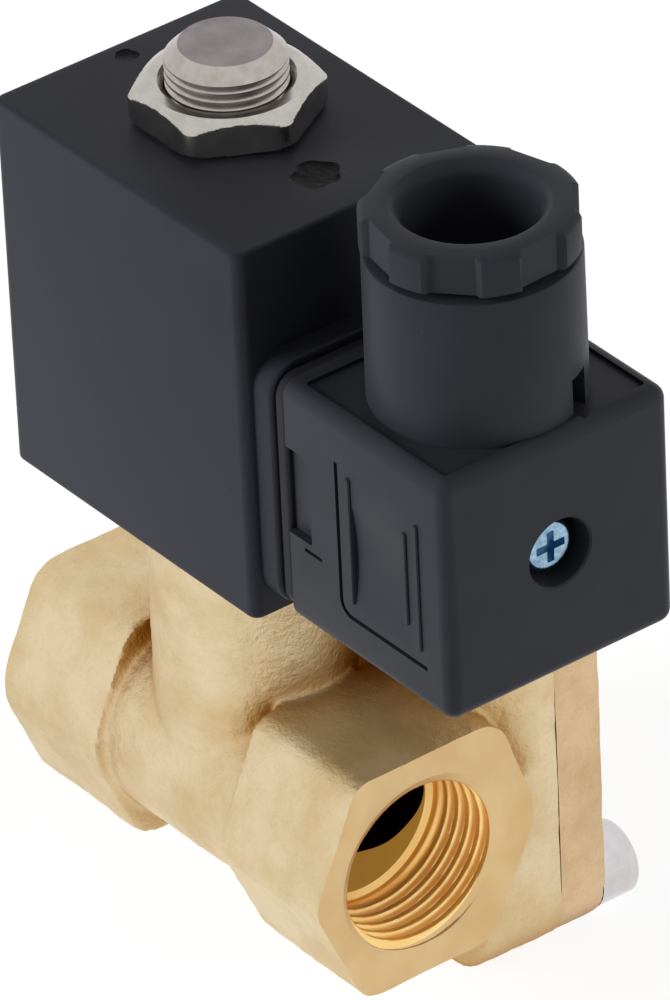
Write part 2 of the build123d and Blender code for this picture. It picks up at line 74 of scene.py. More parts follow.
# where the main parts stand, all read from the frame
body = span("valve_body")
cover = span("bonnet")
coil = span("coil_housing")
gasket = span("connector_gasket")
plug = span("connector_housing")
lobedNut = span("gland_nut")
hexNut = span("coil_nut")
inletFace, outletFace = body[0].x, body[1].x
tubeX = (inletFace + outletFace) / 2
bossTop = body[1].z
flangeFace = cover[0].y
coilY = (coil[0].y + coil[1].y) / 2


# small tools
def hexColour(text):
    parts = [int(text[i:i + 2], 16) / 255 for i in (1, 3, 5)]
    return [c / 12.92 if c <= 0.04045 else ((c + 0.055) / 1.055) ** 2.4 for c in parts] + [1.0]


def addNode(tree, kind, settings=None, links=None):
    node = tree.nodes.new("ShaderNode" + kind)
    for key, value in (settings or {}).items():
        if key == "stops":
            ramp = node.color_ramp
            while len(ramp.elements) < len(value):
                ramp.elements.new(0.5)
            for element, (place, colour) in zip(ramp.elements, value):
                element.position = place
                element.color = hexColour(colour)
        elif isinstance(key, str) and hasattr(node, key):
            setattr(node, key, value)
        else:
            node.inputs[key].default_value = value
    for key, source in (links or {}).items():
        tree.links.new(source, node.inputs[key])
    return node


def startFinish(name, shader):
    material = bpy.data.materials.new(name)
    material.use_nodes = True
    tree = material.node_tree
    tree.nodes.clear()
    surface = addNode(tree, "BsdfPrincipled", shader)
    addNode(tree, "OutputMaterial", links={"Surface": surface.outputs[0]})
    spot = addNode(tree, "TexCoord")
    place = addNode(tree, "Mapping", {"Scale": (1000, 1000, 1000)}, {"Vector": spot.outputs["Object"]})
    return material, tree, surface, place.outputs[0]   # place is in mm


# camera, room and light: the photograph's own view, 670 x 1000
cameraView = {"azimuth": 53.76, "elevation": 33.37, "roll": -2.77, "distance": 1200.0,
              "aside": (-9.67, -38.14), "aim": (26.1, 1.1, 77.1), "lens": 11786.13 / 1000 * 36}


def placeCamera():
    az, el, roll = (math.radians(cameraView[k]) for k in ("azimuth", "elevation", "roll"))
    back = Vector((math.sin(az) * math.cos(el), -math.cos(az) * math.cos(el), math.sin(el)))
    right = Vector((0, 0, 1)).cross(back).normalized()
    up = back.cross(right)
    level = Matrix((right, -up, -back))
    turn = Matrix(((math.cos(roll), -math.sin(roll), 0), (math.sin(roll), math.cos(roll), 0), (0, 0, 1)))
    view = turn @ level
    aside = Vector((*cameraView["aside"], cameraView["distance"]))
    where = (Vector(cameraView["aim"]) - view.transposed() @ aside) * mm
    lens = bpy.data.cameras.new("camera")
    lens.lens = cameraView["lens"]
    lens.clip_end = 20
    camera = bpy.data.objects.new("camera", lens)
    scene.collection.objects.link(camera)
    axes = Matrix((view[0], -view[1], -view[2])).transposed().to_4x4()
    camera.matrix_world = Matrix.Translation(where) @ axes
    scene.camera = camera


room = {"fill": 0.22, "floor": "#e9e9e9", "floorGlow": 0.86, "floorShade": "#8c8c8c", "floorSize": 6.0}
# each lamp: where it stands (m), its side (m) and its power (W)
lamps = {"window left": ((-0.53, -1.08, 0.4), 0.7, 16.0),
         "window right": ((0.95, 0.62, 0.3), 0.6, 6.0)}


def whereSeen(tree):   # 1 for what the camera sees, straight on, in a mirror or through glass
    ray = addNode(tree, "LightPath")
    seen = ray.outputs["Is Camera Ray"]
    for name in ("Is Glossy Ray", "Is Transmission Ray"):
        seen = addNode(tree, "Math", {"operation": "MAXIMUM"}, {0: seen, 1: ray.outputs[name]}).outputs[0]
    return seen


def lightRoom():
    world = bpy.data.worlds.new("white room")
    world.use_nodes = True
    tree = world.node_tree
    tree.nodes.clear()
    seen = whereSeen(tree)
    power = addNode(tree, "MapRange", {"To Min": room["fill"], "To Max": 1.0}, {"Value": seen})
    sky = addNode(tree, "Background", {"Color": (1, 1, 1, 1)}, {"Strength": power.outputs[0]})
    addNode(tree, "OutputWorld", links={"Surface": sky.outputs[0]})
    scene.world = world
    for name, (spot, side, power) in lamps.items():
        lamp = bpy.data.lights.new(name, "AREA")
        lamp.size = side
        lamp.energy = power
        holder = bpy.data.objects.new(name, lamp)
        scene.collection.objects.link(holder)
        holder.location = spot
        holder.visible_glossy = False   # metal then mirrors the white room and not the lamps
        aim = Vector((0.03, 0.0, 0.03)) - Vector(spot)
        holder.rotation_euler = aim.to_track_quat("-Z", "Y").to_euler()


def layFloor():
    half = room["floorSize"] / 2
    level = cadBox[0][2]
    mesh = bpy.data.meshes.new("floor")
    mesh.from_pydata([(-half, -half, level), (half, -half, level), (half, half, level), (-half, half, level)],
                     [], [(0, 1, 2, 3)])
    floor = bpy.data.objects.new("floor", mesh)
    scene.collection.objects.link(floor)
    # matt white paper: the camera sees it white, and the shadow is a darker part of that white
    material = bpy.data.materials.new("white paper")
    material.use_nodes = True
    tree = material.node_tree
    tree.nodes.clear()
    seen = whereSeen(tree)
    matt = addNode(tree, "BsdfDiffuse", {"Color": hexColour(room["floor"])})
    glow = addNode(tree, "Emission", {"Color": (1, 1, 1, 1), "Strength": room["floorGlow"]})
    shade = addNode(tree, "BsdfDiffuse", {"Color": hexColour(room["floorShade"])})
    paper = addNode(tree, "AddShader", links={0: glow.outputs[0], 1: shade.outputs[0]})
    mixed = addNode(tree, "MixShader", links={0: seen, 1: matt.outputs[0],
                                              2: paper.outputs[0]})
    addNode(tree, "OutputMaterial", links={"Surface": mixed.outputs[0]})
    mesh.materials.append(material)


placeCamera()
lightRoom()
layFloor()
scene.view_settings.view_transform = "Standard"
print("camera, lamps and floor are in place")


# finishes
def castSkin(name, look):
    # sand-cast brass, shot-blasted: dull and grainy, in random patches of pale and golden tone; painted shade:
    # an occlusion node turns the colour to the darker deep colour in recesses and under nearby parts
    material, tree, surface, place = startFinish(name, {"Metallic": 1.0})
    patches = addNode(tree, "TexNoise", {"Scale": 1 / look["patch"], "Detail": 4.0, "Roughness": 0.6},
                      {"Vector": place})
    tone = addNode(tree, "ValToRGB", {"stops": [(0.36, look["gold"]), (0.62, look["pale"])]},
                   {"Fac": patches.outputs[0]})
    # painted shade: the occlusion factor darkens the base colour towards the deep colour where other surfaces
    # are near
    shadeReach = addNode(tree, "AmbientOcclusion", {"samples": 6, "Distance": look["shadeReach"] * mm})
    unshaded = addNode(tree, "MapRange", {"From Min": 0.35, "From Max": 0.95}, {"Value": shadeReach.outputs["AO"]})
    deep = addNode(tree, "Mix", {"data_type": "RGBA", 6: hexColour(look["deep"])},
                   {0: unshaded.outputs[0], 7: tone.outputs[0]})
    grain = addNode(tree, "TexNoise", {"Scale": 1 / look["grain"], "Detail": 3.0, "Roughness": 0.7},
                    {"Vector": place})
    fleck = addNode(tree, "ValToRGB", {"stops": [(0.33, look["fleckDark"]), (0.5, "#ffffff")]},
                    {"Fac": grain.outputs[0]})
    colour = addNode(tree, "Mix", {"data_type": "RGBA", "blend_type": "MULTIPLY", 0: look["fleck"]},
                     {6: deep.outputs[2], 7: fleck.outputs[0]})
    tree.links.new(colour.outputs[2], surface.inputs["Base Color"])
    rough = addNode(tree, "MapRange", {"To Min": look["rough"][0], "To Max": look["rough"][1]},
                    {"Value": grain.outputs[0]})
    tree.links.new(rough.outputs[0], surface.inputs["Roughness"])
    swell = addNode(tree, "TexNoise", {"Scale": 1 / look["swell"], "Detail": 2.0}, {"Vector": place})
    hills = addNode(tree, "Bump", {"Strength": 0.5, "Distance": look["swellDepth"] * mm},
                    {"Height": swell.outputs[0]})
    bump = addNode(tree, "Bump", {"Strength": 1.0, "Distance": look["grainDepth"] * mm},
                   {"Height": grain.outputs[0], "Normal": hills.outputs[0]})
    tree.links.new(bump.outputs[0], surface.inputs["Normal"])
    return material


def turnedMetal(name, look):
    # lathe-turned metal: fine rings round its axis, brighter and darker as the tool fed
    # "bounced" stands for light that goes round a bore more often than the renderer follows
    shader = {"Metallic": 1.0}
    if "bounced" in look:
        shader.update({"Emission Color": hexColour(look["bounced"]), "Emission Strength": 1.0})
    material, tree, surface, place = startFinish(name, shader)
    centre = addNode(tree, "VectorMath", {"operation": "SUBTRACT", 1: look["centre"]}, {0: place})
    across = addNode(tree, "VectorMath", {"operation": "MULTIPLY", 1: look["across"]}, {0: centre.outputs[0]})
    radius = addNode(tree, "VectorMath", {"operation": "LENGTH"}, {0: across.outputs[0]})
    along = addNode(tree, "VectorMath", {"operation": "DOT_PRODUCT", 1: look["along"]}, {0: centre.outputs[0]})
    where = addNode(tree, "CombineXYZ", links={"X": radius.outputs["Value"], "Y": along.outputs["Value"]})
    rings = addNode(tree, "TexNoise", {"Scale": 1 / look["feed"], "Detail": 2.0, "Roughness": 0.6},
                    {"Vector": where.outputs[0]})
    blotch = addNode(tree, "TexNoise", {"Scale": 1 / look["blotch"], "Detail": 3.0}, {"Vector": place})
    tone = addNode(tree, "ValToRGB", {"stops": [(0.3, look["dark"]), (0.7, look["light"])]},
                   {"Fac": blotch.outputs[0]})
    tree.links.new(tone.outputs[0], surface.inputs["Base Color"])
    both = addNode(tree, "Math", {"operation": "ADD"}, {0: rings.outputs[0], 1: blotch.outputs[0]})
    rough = addNode(tree, "MapRange", {"From Max": 2.0, "To Min": look["rough"][0], "To Max": look["rough"][1]},
                    {"Value": both.outputs[0]})
    tree.links.new(rough.outputs[0], surface.inputs["Roughness"])
    bump = addNode(tree, "Bump", {"Strength": 0.6, "Distance": look["ringDepth"] * mm},
                   {"Height": rings.outputs[0]})
    tree.links.new(bump.outputs[0], surface.inputs["Normal"])
    return material


def mouldedPlastic(name, look):
    # injection-moulded from a finely eroded tool: satin, even, with a few handling scuffs
    material, tree, surface, place = startFinish(
        name, {"Specular IOR Level": look["gloss"], "IOR": look["ior"]})
    cloud = addNode(tree, "TexNoise", {"Scale": 1 / look["cloud"], "Detail": 3.0}, {"Vector": place})
    tone = addNode(tree, "ValToRGB", {"stops": [(0.3, look["dark"]), (0.7, look["light"])]},
                   {"Fac": cloud.outputs[0]})
    stretch = addNode(tree, "Mapping", {"Rotation": (0.4, 0.9, 0.3), "Scale": (0.12, 1.6, 0.5)},
                      {"Vector": place})
    scuff = addNode(tree, "TexNoise", {"Scale": 1 / look["scuff"], "Detail": 5.0, "Roughness": 0.75},
                    {"Vector": stretch.outputs[0]})
    line = addNode(tree, "MapRange", {"From Min": 0.68, "From Max": 0.76, "To Max": look["scuffed"]},
                   {"Value": scuff.outputs[0]})
    colour = addNode(tree, "Mix", {"data_type": "RGBA", 7: hexColour(look["scratch"])},
                     {0: line.outputs[0], 6: tone.outputs[0]})
    tree.links.new(colour.outputs[2], surface.inputs["Base Color"])
    grain = addNode(tree, "TexNoise", {"Scale": 1 / look["grain"], "Detail": 2.0}, {"Vector": place})
    rough = addNode(tree, "MapRange", {"To Min": look["rough"][0], "To Max": look["rough"][1]},
                    {"Value": cloud.outputs[0]})
    tree.links.new(rough.outputs[0], surface.inputs["Roughness"])
    bump = addNode(tree, "Bump", {"Strength": 0.5, "Distance": look["grainDepth"] * mm},
                   {"Height": grain.outputs[0]})
    tree.links.new(bump.outputs[0], surface.inputs["Normal"])
    return material


def brightPlate(name, look):
    # electroplated steel: mirror-like skin over a slightly uneven base, a little haze from handling
    material, tree, surface, place = startFinish(name, {"Metallic": 1.0})
    haze = addNode(tree, "TexNoise", {"Scale": 1 / look["haze"], "Detail": 5.0, "Roughness": 0.65},
                   {"Vector": place})
    tone = addNode(tree, "ValToRGB", {"stops": [(0.3, look["dark"]), (0.65, look["light"])]},
                   {"Fac": haze.outputs[0]})
    tree.links.new(tone.outputs[0], surface.inputs["Base Color"])
    rough = addNode(tree, "MapRange", {"To Min": look["rough"][0], "To Max": look["rough"][1]},
                    {"Value": haze.outputs[0]})
    tree.links.new(rough.outputs[0], surface.inputs["Roughness"])
    waves = addNode(tree, "TexNoise", {"Scale": 1 / look["wave"], "Detail": 1.0}, {"Vector": place})
    bump = addNode(tree, "Bump", {"Strength": 0.4, "Distance": look["waveDepth"] * mm},
                   {"Height": waves.outputs[0]})
    tree.links.new(bump.outputs[0], surface.inputs["Normal"])
    return material


# the deep colours below are painted shade, laid into recesses by the occlusion node
brassCast = castSkin("sand-cast brass, blasted", {
    "pale": "#e6d4b0", "gold": "#dac294", "deep": "#b98a3c", "fleckDark": "#8f7444", "fleck": 0.07,
    "patch": 9.0, "shadeReach": 7.0, "grain": 0.55, "grainDepth": 0.16, "swell": 2.6, "swellDepth": 0.2, "rough": (0.42, 0.6)})
brassCover = castSkin("cast brass cover, blasted", {
    "pale": "#e0c49c", "gold": "#d2b48a", "deep": "#a98148", "fleckDark": "#8d7450", "fleck": 0.07,
    "patch": 7.0, "shadeReach": 5.0, "grain": 0.55, "grainDepth": 0.16, "swell": 3.0, "swellDepth": 0.2, "rough": (0.45, 0.6)})
alongX = {"centre": (0, 0, 0), "across": (0, 1, 1), "along": (1, 0, 0)}
alongZ = {"centre": (tubeX, 0, 0), "across": (1, 1, 0), "along": (0, 0, 1)}
alongY = {"centre": (tubeX, 0, 0), "across": (1, 0, 1), "along": (0, 1, 0)}
# a facing cut: fresh brass, satin, with rings too fine to count, drawn a little coarser than real
brassFaced = turnedMetal("brass, faced in the lathe", {
    **alongX, "light": "#dcbf8e", "dark": "#d0af7a", "feed": 0.3, "ringDepth": 0.006, "blotch": 6.0,
    "rough": (0.3, 0.44)})
brassThread = turnedMetal("brass, tapped thread", {
    **alongX, "light": "#f8dc98", "dark": "#eecb80", "bounced": "#54391a", "feed": 0.5,
    "ringDepth": 0.004, "blotch": 5.0, "rough": (0.34, 0.46)})
brassWall = turnedMetal("brass, bored passage", {
    **alongX, "light": "#f8dc98", "dark": "#eecb80", "bounced": "#8a6326", "feed": 0.5, "ringDepth": 0.004,
    "blotch": 5.0, "rough": (0.3, 0.42)})
# painted shade: the cored passage is brass, painted near-black here as the shade deep inside it
boreShadePaint = castSkin("brass, cored passage, painted shade", {
    "pale": "#1c130b", "gold": "#140d08", "deep": "#0c0806", "fleckDark": "#5a4526", "fleck": 0.5, "patch": 6.0,
    "shadeReach": 6.0, "grain": 0.6, "grainDepth": 0.04, "swell": 3.0, "swellDepth": 0.2, "rough": (0.5, 0.7)})
brassTurned = turnedMetal("brass, turned bright", {
    **alongY, "light": "#dcbb74", "dark": "#c79f52", "feed": 0.3, "ringDepth": 0.006, "blotch": 4.0,
    "rough": (0.22, 0.36)})
stainless = turnedMetal("stainless steel, turned", {
    **alongZ, "light": "#8e8887", "dark": "#7b7574", "feed": 0.25, "ringDepth": 0.008, "blotch": 3.0,
    "rough": (0.26, 0.42)})
# the chamfer's lighter colour is partly a fresh cut and partly a painted highlight
studChamfer = turnedMetal("stainless steel, fresh chamfer", {
    **alongZ, "light": "#b9b2ad", "dark": "#aaa39e", "feed": 0.25, "ringDepth": 0.008, "blotch": 1.2,
    "rough": (0.2, 0.32)})
nickel = brightPlate("nickel-plated steel", {
    "light": "#bfbbb5", "dark": "#b0aca6", "haze": 2.0, "wave": 2.5, "waveDepth": 0.02, "rough": (0.14, 0.3)})
chrome = brightPlate("chrome-plated steel", {
    "light": "#d6d2d1", "dark": "#cbc6c5", "haze": 1.6, "wave": 2.6, "waveDepth": 0.02, "rough": (0.05, 0.1)})
blueZinc = brightPlate("zinc-plated steel, blue chromate", {
    "light": "#a3c1d6", "dark": "#6d8ca8", "haze": 0.8, "wave": 0.9, "waveDepth": 0.02, "rough": (0.12, 0.28)})
yokeSteel = brightPlate("zinc-plated sheet steel", {
    "light": "#c9c9c4", "dark": "#a9a9a3", "haze": 3.0, "wave": 2.0, "waveDepth": 0.03, "rough": (0.3, 0.45)})
springWire = brightPlate("drawn spring wire", {
    "light": "#b4b4b2", "dark": "#8f8f8d", "haze": 0.7, "wave": 0.5, "waveDepth": 0.01, "rough": (0.24, 0.4)})
tinned = brightPlate("tinned contact strip", {
    "light": "#dcdcd6", "dark": "#c0c0b8", "haze": 1.2, "wave": 1.2, "waveDepth": 0.01, "rough": (0.22, 0.36)})
copper = brightPlate("enamelled copper wire", {
    "light": "#c07a48", "dark": "#9a5a30", "haze": 1.0, "wave": 0.35, "waveDepth": 0.12, "rough": (0.2, 0.34)})
# the coil is painted a shade darker than the plug: painted shade for its half-hidden faces
coilMoulding = mouldedPlastic("moulded coil, glass-filled nylon", {
    "light": "#2b2c34", "dark": "#26272f", "scratch": "#6c6d74", "scuffed": 0.35, "cloud": 9.0, "scuff": 1.4,
    "grain": 0.22, "grainDepth": 0.02, "rough": (0.4, 0.5), "gloss": 0.12, "ior": 1.5})
# the sink marks are real dips; their near-black colour is a painted dark reflection of their glossy skin
sinkMark = mouldedPlastic("moulded coil, glossy sink mark", {
    "light": "#0d0d10", "dark": "#08080a", "scratch": "#4c4d54", "scuffed": 0.2, "cloud": 2.0, "scuff": 0.8,
    "grain": 0.9, "grainDepth": 0.3, "rough": (0.22, 0.36), "gloss": 0.06, "ior": 1.5})
plugMoulding = mouldedPlastic("moulded plug, nylon", {
    "light": "#313238", "dark": "#2c2d33", "scratch": "#707176", "scuffed": 0.35, "cloud": 8.0, "scuff": 1.2,
    "grain": 0.2, "grainDepth": 0.018, "rough": (0.4, 0.5), "gloss": 0.12, "ior": 1.5})
blackBlock = mouldedPlastic("contact block, black nylon", {
    "light": "#2c2c2f", "dark": "#262629", "scratch": "#77777a", "scuffed": 0.2, "cloud": 6.0, "scuff": 1.0,
    "grain": 0.2, "grainDepth": 0.02, "rough": (0.45, 0.55), "gloss": 0.4, "ior": 1.53})
naturalNylon = mouldedPlastic("spool, natural nylon", {
    "light": "#e6e2d2", "dark": "#d8d2bf", "scratch": "#f4f2ea", "scuffed": 0.2, "cloud": 6.0, "scuff": 1.0,
    "grain": 0.25, "grainDepth": 0.02, "rough": (0.35, 0.45), "gloss": 0.5, "ior": 1.53})
nitrile = mouldedPlastic("nitrile rubber", {
    "light": "#26262a", "dark": "#1f1f23", "scratch": "#5c5c62", "scuffed": 0.3, "cloud": 4.0, "scuff": 1.0,
    "grain": 0.3, "grainDepth": 0.02, "rough": (0.42, 0.54), "gloss": 0.15, "ior": 1.5})
slickRing = mouldedPlastic("filled sliding ring", {
    "light": "#e2e0d8", "dark": "#d2d0c6", "scratch": "#b5b3a8", "scuffed": 0.3, "cloud": 3.0, "scuff": 0.8,
    "grain": 0.3, "grainDepth": 0.015, "rough": (0.3, 0.4), "gloss": 0.5, "ior": 1.38})

# CAD parts whose shape is right keep it and get their finish here
keptParts = {
    "bonnet_screws": chrome, "bonnet_seal": nitrile, "piston": brassTurned, "piston_ring": slickRing,
    "piston_disc": nitrile, "disc_screw": springWire, "piston_spring": springWire, "guide_tube": stainless,
    "fixed_core": stainless, "shading_ring": copper, "tube_seal": nitrile, "plunger": stainless,
    "plunger_seal": nitrile, "plunger_spring": springWire, "magnet_frame": yokeSteel,
    "coil_bobbin": naturalNylon, "coil_winding": copper, "coil_terminals": tinned,
    "screw_insert": brassTurned, "coil_washer": yokeSteel, "connector_gasket": nitrile,
    "terminal_block": blackBlock, "terminal_sockets": tinned, "terminal_screws": blueZinc,
    "connector_screw": blueZinc, "screw_seal": nitrile, "gland_sleeve": nitrile, "gland_washer": naturalNylon}
for node, finish in keptParts.items():
    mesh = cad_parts[node].data
    mesh.materials.clear()
    mesh.materials.append(finish)
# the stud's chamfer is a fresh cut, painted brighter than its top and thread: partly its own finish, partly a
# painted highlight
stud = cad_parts["fixed_core"].data
stud.materials.append(studChamfer)
for polygon in stud.polygons:
    if 0.3 < polygon.normal.z < 0.95:
        polygon.material_index = 1
print("finishes are made,", len(keptParts), "CAD parts have theirs")


# mesh tools, all in mm
def roundedOutline(corners, rounds, steps=7):
    # corners joined by straight lines, each rounded with its own radius
    points = []
    count = len(corners)
    for i, corner in enumerate(corners):
        here = Vector(corner)
        before = (Vector(corners[i - 1]) - here).normalized()
        after = (Vector(corners[(i + 1) % count]) - here).normalized()
        radius = rounds[i] if isinstance(rounds, (list, tuple)) else rounds
        if radius <= 0:
            points.append((here.x, here.y))
            continue
        half = before.angle(after) / 2
        centre = here + (before + after).normalized() * (radius / math.sin(half))
        start = here + before * (radius / math.tan(half)) - centre
        end = here + after * (radius / math.tan(half)) - centre
        first = math.atan2(start.y, start.x)
        sweep = (math.atan2(end.y, end.x) - first + math.pi) % (2 * math.pi) - math.pi
        for k in range(steps + 1):
            turn = first + sweep * k / steps
            points.append((centre.x + radius * math.cos(turn), centre.y + radius * math.sin(turn)))
    return points


def rectOutline(a, b, c, d, radius, steps=7):
    return roundedOutline([(a, b), (c, b), (c, d), (a, d)], radius, steps)


def roundOutline(radius, steps=64, centre=(0, 0)):
    return [(centre[0] + radius * math.cos(2 * math.pi * k / steps),
             centre[1] + radius * math.sin(2 * math.pi * k / steps)) for k in range(steps)]


axisOrder = {"x": lambda a, b, t: (t, a, b), "y": lambda a, b, t: (b, t, a), "z": lambda a, b, t: (a, b, t)}


def skin(layers, axis="z", closed=True, around=False):
    # layers: (outline, height) pairs with equal counts; joins them with faces and closes both ends
    bm = bmesh.new()
    place = axisOrder[axis]
    rings = []
    for outline, height in layers:
        heights = height if isinstance(height, (list, tuple)) else [height] * len(outline)
        rings.append([bm.verts.new(place(a, b, t)) for (a, b), t in zip(outline, heights)])
    pairs = list(zip(rings, rings[1:]))
    if around:
        pairs.append((rings[-1], rings[0]))
    for lower, upper in pairs:
        for k in range(len(lower)):
            j = (k + 1) % len(lower)
            bm.faces.new((lower[k], lower[j], upper[j], upper[k]))
    if closed and not around:
        bm.faces.new(list(reversed(rings[0])))
        bm.faces.new(rings[-1])
    bmesh.ops.recalc_face_normals(bm, faces=bm.faces)
    return bm


def prism(outline, start, end, axis="z"):
    return skin([(outline, start), (outline, end)], axis)


def rod(axis, centre, radius, start, end, steps=64):
    return prism(roundOutline(radius, steps, centre), start, end, axis)


def turned(profile, axis="z", centre=(0, 0), steps=64):
    # profile: (radius, height) from one end to the other; the ends are closed flat
    layers = [(roundOutline(max(r, 0.002), steps, centre), t) for r, t in profile]
    return skin(layers, axis)


def softBlock(low, high, axis, corner, startRound, endRound, steps=5, turns=6):
    # a block whose four long edges and two end rims are rounded
    order = {"x": (1, 2, 0), "y": (2, 0, 1), "z": (0, 1, 2)}[axis]
    a0, b0, t0 = (low[i] for i in order)
    a1, b1, t1 = (high[i] for i in order)
    layers = []
    for k in range(steps + 1):
        turn = math.pi / 2 * k / steps
        inset = startRound * (1 - math.sin(turn))
        layers.append((inset, t0 + startRound * (1 - math.cos(turn))))
    for k in range(steps + 1):
        turn = math.pi / 2 * k / steps
        inset = endRound * (1 - math.cos(turn))
        layers.append((inset, t1 - endRound * (1 - math.sin(turn))))
    made = [(rectOutline(a0 + d, b0 + d, a1 - d, b1 - d, max(corner - d, 0.05), turns), t) for d, t in layers]
    return skin(made, axis)


def shellOf(name, source, materials=()):
    mesh = bpy.data.meshes.new(name)
    source.to_mesh(mesh)
    source.free()
    mesh.transform(Matrix.Scale(mm, 4))
    for material in materials:
        mesh.materials.append(material)
    piece = bpy.data.objects.new(name, mesh)
    scene.collection.objects.link(piece)
    return piece


def settle(piece):
    # keeps the mesh that the modifiers give and drops the modifiers
    graph = bpy.context.evaluated_depsgraph_get()
    mesh = bpy.data.meshes.new_from_object(piece.evaluated_get(graph), depsgraph=graph)
    old = piece.data
    piece.modifiers.clear()
    piece.data = mesh
    bpy.data.meshes.remove(old)
    return piece


def combine(piece, sources, operation="DIFFERENCE"):
    helpers = []
    for i, source in enumerate(sources):
        helper = shellOf(f"{piece.name}-tool{i}", source)
        change = piece.modifiers.new(f"step{i}", "BOOLEAN")
        change.operation = operation
        change.solver = "MANIFOLD"
        change.object = helper
        helpers.append(helper)
    settle(piece)
    for helper in helpers:
        mesh = helper.data
        bpy.data.objects.remove(helper)
        bpy.data.meshes.remove(mesh)
    return piece


def voxelCast(name, sources, voxel, rounds):
    # joins closed lumps into one skin with soft fillets, as sand casting leaves them
    bm = bmesh.new()
    for source in sources:
        lump = bpy.data.meshes.new("lump")
        source.to_mesh(lump)
        source.free()
        bm.from_mesh(lump)
        bpy.data.meshes.remove(lump)
    piece = shellOf(name, bm)
    remesh = piece.modifiers.new("skin", "REMESH")
    remesh.mode = "VOXEL"
    remesh.voxel_size = voxel * mm
    smooth = piece.modifiers.new("soft", "SMOOTH")
    smooth.factor = 0.5
    smooth.iterations = rounds
    return settle(piece)


def coordinates(piece):
    flat = np.empty(len(piece.data.vertices) * 3, np.float32)
    piece.data.vertices.foreach_get("co", flat)
    return flat.reshape(-1, 3) / mm


def setCoordinates(piece, spots):
    piece.data.vertices.foreach_set("co", (spots * mm).astype(np.float32).ravel())
    piece.data.update()


def unevenCast(piece, amount, size, seed):
    # a casting's slow swells, moved along the normals
    spots = coordinates(piece)
    flat = np.empty(len(piece.data.vertices) * 3, np.float32)
    piece.data.vertices.foreach_get("normal", flat)
    normals = flat.reshape(-1, 3)
    offset = Vector((seed, seed * 0.7, seed * 1.3))
    moves = np.array([noise.fractal(Vector(p) / size + offset, 0.9, 2.1, 3) for p in spots])
    setCoordinates(piece, spots + normals * (moves * amount)[:, None])


def faceOff(piece, point, normal):
    # mills the skin flat at a plane and closes it there
    bm = bmesh.new()
    bm.from_mesh(piece.data)
    everything = list(bm.verts) + list(bm.edges) + list(bm.faces)
    cut = bmesh.ops.bisect_plane(bm, geom=everything, plane_co=Vector(point) * mm, plane_no=normal,
                                 clear_outer=True, dist=1e-7)
    rim = [e for e in cut["geom_cut"] if isinstance(e, bmesh.types.BMEdge)]
    bmesh.ops.contextual_create(bm, geom=rim)
    bmesh.ops.recalc_face_normals(bm, faces=bm.faces)
    bm.to_mesh(piece.data)
    bm.free()


def coat(piece, *finishes):   # a boolean cut leaves empty material slots behind
    piece.data.materials.clear()
    for finish in finishes:
        piece.data.materials.append(finish)


def dress(piece, carrier, nodes, angle=35):
    for polygon in piece.data.polygons:
        polygon.use_smooth = True
    piece.data.set_sharp_from_angle(angle=math.radians(angle))
    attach(piece, carrier)
    if nodes:
        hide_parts(*nodes)
    print("made", piece.name, len(piece.data.polygons), "faces")
    return piece


def paintFaces(piece, choose):
    # choose gets arrays of face middles and normals in mm and gives a material number for each face
    mesh = piece.data
    count = len(mesh.polygons)
    middles = np.empty(count * 3, np.float32)
    normals = np.empty(count * 3, np.float32)
    mesh.polygons.foreach_get("center", middles)
    mesh.polygons.foreach_get("normal", normals)
    chosen = choose(middles.reshape(-1, 3) / mm, normals.reshape(-1, 3))
    mesh.polygons.foreach_set("material_index", chosen.astype(np.int32))


# cast body
casting = {"voxel": 0.42, "rounds": 5, "spare": 2.0, "inletLength": 16.0, "outletLength": 17.0,
           "barrel": 12.0, "boss": 11.0, "chamber": 15.8, "flangeBack": 8.5, "flangeCorner": 6.0,
           "flangeEdge": 2.0, "slantStart": 4.0, "slantRun": 3.5, "swell": 0.16, "swellSize": 9.0,
           "pocketEdge": 41.2, "pocketSlant": 6.0, "joint": 0.05,
           "grain": 0.06, "grainSize": 1.1}
portCorners = [(10.4, 13.5), (-8.3, 13.5), (-14.3, 0), (-8.3, -13.5), (8.3, -13.5), (15.2, 0)]
portRounds = [4.0, 3.0, 4.0, 3.0, 3.0, 7.0]
inletRounds = [4.0, 4.0, 8.5, 4.0, 3.0, 7.0]
thread = {"pitch": 1.814, "minor": 9.3155, "deep": 0.85, "mouth": 10.6, "flare": 1.8,
          "length": 10.4, "fade": 1.6, "runOut": 0.4, "neck": 8.3}


# what is drilled and bored into the casting; a profile is (radius, height) along its axis
bores = {"passage": 8.6, "inletStop": 9.0, "outletStart": 5.5, "pocket": 9.5, "pocketStart": 27.0, "neck": 8.2,
         "pocketSteps": 96, "ragged": 0.9, "raggedSize": 5.6, "boltReach": 21.6, "boltInset": 5.0,
         "boltHole": (2.52, 12.7, 20.0),
         "chamber": [(5.5, 0), (5.5, 12.0), (7.2, 12.0), (7.2, 10.6), (13.0, 10.6), (13.0, 20.0)],
         "tubeSeat": [(0.6, 0), (0.6, 26.9), (2.0, 26.9), (2.0, 24.9), (5.6, 24.9), (5.6, 26.5),
                      (8.02, 26.5), (8.02, 36.0)]}
# where each finish lies: for the bores (finish, (radius, from x, to x)), later ones over earlier
# finish 3, the cored passage, is painted near-black: painted shade
zones = {"bores": [(2, (11.2, -9.0, 13.0)), (2, (11.2, 40.2, 90.0)), (3, (9.6, 13.0, 42.2)),
                   (4, (8.65, 36.0, 43.0))],
         "mouth": (11.2, 0.7), "piston": (13.1, 10.4, 18.9), "tube": (8.1, 20.0)}


